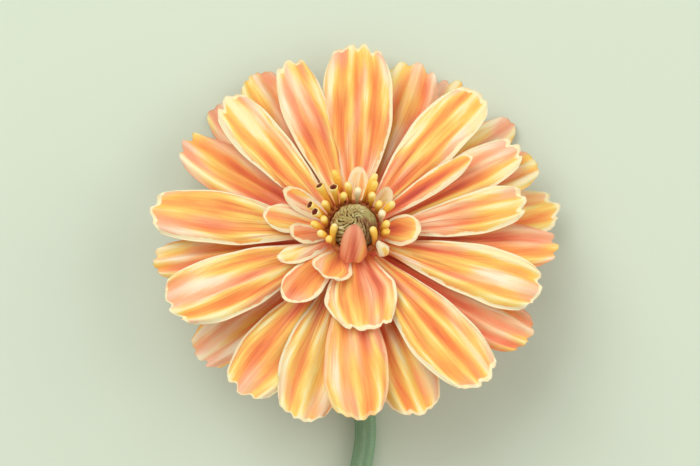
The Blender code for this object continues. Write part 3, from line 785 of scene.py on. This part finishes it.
# %% [markdown]
# ## Hairs
#
# The green parts of such a flower are covered with short pale hairs. Each is a thin three-sided spike,
# rooted in the skin and bent a little along it. Hair particles would be lost when the scene is exported,
# so they are part of the mesh.

# %% Hairs as thin spikes
HAIR_LENGTH = (0.3, 0.75)
HAIR_RADIUS = 0.022


def add_hairs(piece, roots, outward, lean, draw):
    """Adds one spike at each root, along outward and bent towards lean. Places are in millimetres."""
    corner = np.arange(3) * 2 * math.pi / 3
    for root, out, bend in zip(roots, outward, lean):
        aim = out + bend * 0.5 + draw.normal(0, 0.25, 3)
        aim /= np.linalg.norm(aim)
        across = np.cross(aim, bend)
        across /= np.linalg.norm(across)
        over = np.cross(aim, across)
        base = root - out * 0.1 + HAIR_RADIUS * (np.cos(corner)[:, None] * across + np.sin(corner)[:, None] * over)
        spots = np.concatenate([base, [root + aim * draw.uniform(*HAIR_LENGTH)]])
        piece.add(spots, [(0, 1, 3), (1, 2, 3), (2, 0, 3), (2, 1, 0)], spots, under=1.0)


# %% [markdown]
# ## The green cup
#
# Under the head the petals are held by a cup whose rim spreads into thirteen pointed bracts. It is one
# skin, so it is built as one grid round the axis: the rim's distance goes in and out with the angle.

# %% Cup and bracts
CUP_BELOW = ((3.0, -7.7), (4.4, -6.9), (6.0, -5.5))
CUP_ABOVE = ((6.9, -4.3), (7.1, -1.4))
BRACT_COUNT = 13
BRACT_TIP = 13.0
BRACT_GAP = 7.7
BRACT_RISE = 0.22
BRACT_THICKNESS = 0.5
BRACT_STEPS = 12

sides = BRACT_COUNT * BRACT_STEPS
phase = np.arange(sides) % BRACT_STEPS / BRACT_STEPS
tip_share = np.abs(2 * phase - 1) ** 1.1
reach = BRACT_GAP + (BRACT_TIP - BRACT_GAP) * tip_share
rib = np.cos(2 * math.pi * phase)
rows = [np.stack([np.full(sides, d), np.full(sides, h)], axis=-1) for d, h in CUP_BELOW]
rim_low = CUP_BELOW[-1][1] + BRACT_RISE * (reach - CUP_BELOW[-1][0])
for share in (0.35, 0.7, 0.94, 1.0):
    distance = CUP_BELOW[-1][0] + (reach - CUP_BELOW[-1][0]) * share
    height = CUP_BELOW[-1][1] + BRACT_RISE * (distance - CUP_BELOW[-1][0]) - 0.12 * rib * share
    rows.append(np.stack([distance, height + (0.15 if share == 1.0 else 0)], axis=-1))
for share in (1.0, 0.94, 0.7, 0.35):
    distance = CUP_ABOVE[0][0] + (reach - CUP_ABOVE[0][0]) * share
    height = CUP_BELOW[-1][1] + BRACT_RISE * (distance - CUP_BELOW[-1][0]) - 0.12 * rib * share
    rows.append(np.stack([distance, height + BRACT_THICKNESS - (0.15 if share == 1.0 else 0)], axis=-1))
rows += [np.stack([np.full(sides, d), np.full(sides, h)], axis=-1) for d, h in CUP_ABOVE]
angle = np.arange(sides) * 2 * math.pi / sides
points = np.stack([np.stack([row[:, 0] * np.cos(angle), row[:, 0] * np.sin(angle), row[:, 1]], axis=-1) for row in rows])
shape = points.shape[:2]
calyx = Piece()
calyx.add(points.reshape(-1, 3), closed_tube(*shape), points.reshape(-1, 3),
          along=np.clip((points[..., :2] ** 2).sum(-1) ** 0.5 / BRACT_TIP, 0, 1).ravel(),
          ridge=np.broadcast_to(rib, shape).ravel())

CUP_HAIRS = 700
draw = np.random.default_rng(58)
roots = points[draw.integers(1, 7, CUP_HAIRS), draw.integers(0, sides, CUP_HAIRS)]  # rows 1 to 6 face down
away = roots * (1, 1, 0) / np.linalg.norm(roots[:, :2], axis=1, keepdims=True)
add_hairs(calyx, roots, away * 0.5 + np.array((0, 0, -0.85)), away, draw)

calyx_finish = Finish("calyx_paint", 0.6)
along, ridge = calyx_finish.read("along"), calyx_finish.read("ridge")
speck = calyx_finish.noise(calyx_finish.read("grain"), (1.1, 1.1, 0.5), 4.0)
tone = calyx_finish.total(0.1, (along, 0.35), (ridge, 0.08), (speck, 0.5))
green = calyx_finish.ramp(tone, (0.0, "3f5a34"), (0.35, "5c7d49"), (0.6, "7c9a5e"), (0.85, "9db47a"), (1.0, "b9c890"))
calyx_finish.colour(calyx_finish.mix(calyx_finish.read("under"), green, "cfdcc0"))
calyx_finish.bump(speck, 0.00015)
calyx.finish("green_cup", calyx_finish.material, "calyx")

# %% [markdown]
# ## The stem
#
# The cut stem leaves the cup along the head's axis, bends, and lies on the floor. It follows the CAD
# part's own line, with more stations and shallow ribs, and its cut end shows paler pith.

# %% Stem
STEM_RADIUS = 2.2
STEM_FLARE = 0.6
STEM_TOP = -8.25
STEM_SIDES = 56
STEM_BEND = 9
STEM_LINE = ((0.5, -20), (2.0, -31), (2.3, -38), (1.0, -46), (-1.5, -61), (-3.9, -76), (-5.5, -91.28))
BEND_POINTS = 30
LINE_POINTS = 12
INTO_CUP = 1.2
RIBS = 9
RIB_DEPTH = 0.07
CUT_END = ((0.9, 0.0), (0.8, 0.12), (0.3, 0.22), (0.06, 0.3))  # rings of the cut: share of the radius, depth


def smooth_line(points, steps):
    """A smooth curve through points, with steps between each two."""
    ends = [points[0] * 2 - points[1], *points, points[-1] * 2 - points[-2]]
    line = []
    for a, b, c, d in zip(ends, ends[1:], ends[2:], ends[3:]):
        for k in range(steps):
            t = k / steps
            bend = (a * 2 - b * 5 + c * 4 - d) * t ** 2 + (b * 3 - a - c * 3 + d) * t ** 3
            line.append((b * 2 + (c - a) * t + bend) / 2)
    return [*line, points[-1]]


top = HEAD @ Vector((0, 0, STEM_TOP))
axis = HEAD.to_3x3() @ Vector((0, 0, 1))
elbow = top - axis * ((top.z - STEM_RADIUS) / axis.z)
lying = [Vector((HEAD_PLACE.x + x, HEAD_PLACE.y + y, STEM_RADIUS)) for x, y in STEM_LINE]
landing = elbow + (lying[0] - elbow).normalized() * STEM_BEND
landing.z = STEM_RADIUS
route = [top + axis * INTO_CUP]
for k in range(BEND_POINTS):
    share = k / BEND_POINTS
    route.append(top * (1 - share) ** 2 + elbow * 2 * share * (1 - share) + landing * share ** 2)
route += smooth_line([landing, *lying[1:]], LINE_POINTS)
route = np.array([tuple(spot) for spot in route])
flare = np.clip(1 - np.arange(-1, len(route) - 1) / BEND_POINTS, 0, 1) ** 2
angle = np.arange(STEM_SIDES) * 2 * math.pi / STEM_SIDES
points = tube_points(route, STEM_RADIUS + STEM_FLARE * flare, STEM_SIDES).reshape(len(route), STEM_SIDES, 3)
ribs = (1 - RIB_DEPTH / STEM_RADIUS * (0.5 - 0.5 * np.cos(RIBS * angle)))[None, :, None]
points = route[:, None] + (points - route[:, None]) * ribs
travel = np.concatenate([[0], np.cumsum(np.linalg.norm(np.diff(route, axis=0), axis=1))])
skin_rings = len(route)
backwards = (route[-2] - route[-1]) / np.linalg.norm(route[-2] - route[-1])
for share, sunk in CUT_END:
    points = np.concatenate([points, (route[-1] + (points[skin_rings - 1] - route[-1]) * share + backwards * sunk)[None]])
travel = np.append(travel, [travel[-1]] * len(CUT_END))
pith = np.repeat(np.arange(len(points)) > skin_rings, STEM_SIDES).astype(float)
grain = np.stack(np.broadcast_arrays((np.cos(angle) * STEM_RADIUS)[None, :], (np.sin(angle) * STEM_RADIUS)[None, :],
                                     travel[:, None]), axis=-1).reshape(-1, 3)
stem = Piece()
sizes = (len(points), STEM_SIDES)
stem.add(points.reshape(-1, 3), closed_tube(*sizes), grain, along=np.repeat(travel / travel[-1], STEM_SIDES),
         ridge=np.broadcast_to(np.cos(RIBS * angle), sizes).ravel(), glow=pith)

# %% Hairs on the stem
STEM_HAIRS = 1500
HAIR_CLEARANCE = 0.55  # how far above the floor a hair's root stays, and more where it points down

draw = np.random.default_rng(57)
rows = draw.integers(14, len(route) - 2, STEM_HAIRS)
columns = draw.integers(0, STEM_SIDES, STEM_HAIRS)
roots = points[rows, columns]
outward = roots - route[rows]
outward /= np.linalg.norm(outward, axis=1, keepdims=True)
downwards = route[rows + 1] - route[rows]
downwards /= np.linalg.norm(downwards, axis=1, keepdims=True)
clear = roots[:, 2] + np.minimum(outward[:, 2], 0) * HAIR_LENGTH[1] > HAIR_CLEARANCE
add_hairs(stem, roots[clear], outward[clear], downwards[clear], draw)
print(int(clear.sum()), "hairs on the stem")

stem_finish = Finish("stem_paint", 0.55)
along, ridge, grain_read = stem_finish.read("along"), stem_finish.read("ridge"), stem_finish.read("grain")
streak = stem_finish.noise(grain_read, (0.9, 0.9, 0.05), 3.0)
speck = stem_finish.noise(grain_read, (3.5, 3.5, 0.7), 3.0)
tone = stem_finish.total(0.0, (streak, 0.7), (speck, 0.25), (ridge, 0.05))
green = stem_finish.ramp(tone, (0.0, "5d8563"), (0.3, "719973"), (0.5, "82a883"), (0.7, "96b892"), (1.0, "b4cda8"))
green = stem_finish.mix(stem_finish.read("glow"), green, "ccd8a8")
green = stem_finish.mix(stem_finish.read("under"), green, "cfdcc0")
stem_finish.colour(green)
stem_finish.bump(stem_finish.total((streak, 0.5), (speck, 0.5)), 0.0001)
stem.finish("cut_stem", stem_finish.material, "stem", place=lambda spots: spots * MM)

# %% [markdown]
# ## Floor, light and camera
#
# The picture is lit softly from above, so a large lamp over the upper left gives shape, a pale sky
# fills the shadows, and a weak lamp from the right keeps the furrows open. The camera stands almost
# straight over the head, as far off as the picture's flat perspective asks.

# %% Floor and soft light
FLOOR_SIZE = 4.0

floor_mesh = bpy.data.meshes.new("floor")
corners = [(-FLOOR_SIZE, -FLOOR_SIZE, 0), (FLOOR_SIZE, -FLOOR_SIZE, 0), (FLOOR_SIZE, FLOOR_SIZE, 0), (-FLOOR_SIZE, FLOOR_SIZE, 0)]
floor_mesh.from_pydata(corners, [], [(0, 1, 2, 3)])
floor = bpy.data.objects.new("floor", floor_mesh)
bpy.context.scene.collection.objects.link(floor)
floor_finish = Finish("pale_floor", 0.9)
floor_finish.shader.inputs["Base Color"].default_value = linear("d3e1cf")
floor_mesh.materials.append(floor_finish.material)


def lamp(name, place, size, watts, colour):
    """A square lamp that faces the flower's middle. place and size are in metres."""
    light = bpy.data.lights.new(name, "AREA")
    light.size = size
    light.energy = watts
    light.color = colour
    thing = bpy.data.objects.new(name, light)
    thing.location = place
    thing.rotation_euler = (Vector((0, 0.02, 0.02)) - Vector(place)).to_track_quat("-Z", "Y").to_euler()
    bpy.context.scene.collection.objects.link(thing)
    return thing


lamp("key_lamp", (-0.4, 0.45, 0.8), 0.8, 5.8, (1.0, 0.96, 0.9))
lamp("fill_lamp", (0.7, 0.1, 0.6), 0.8, 3.0, (1.0, 0.93, 0.86))
world = bpy.data.worlds.new("pale_sky")
world.use_nodes = True
world.node_tree.nodes["Background"].inputs["Color"].default_value = (1.0, 0.98, 0.95, 1.0)
world.node_tree.nodes["Background"].inputs["Strength"].default_value = 0.5
bpy.context.scene.world = world
bpy.context.scene.view_settings.view_transform = "Standard"

# %% Camera
EYE = Vector((-1.51, -31.91, 576.80)) * MM
AIM = Vector((-1.51, 26.62, 19.87)) * MM
LENS = 146.52

camera_data = bpy.data.cameras.new("camera")
camera_data.lens = LENS
camera_data.sensor_width = 36
camera = bpy.data.objects.new("camera", camera_data)
camera.location = EYE
camera.rotation_euler = (AIM - EYE).to_track_quat("-Z", "Y").to_euler()
bpy.context.scene.collection.objects.link(camera)
bpy.context.scene.camera = camera
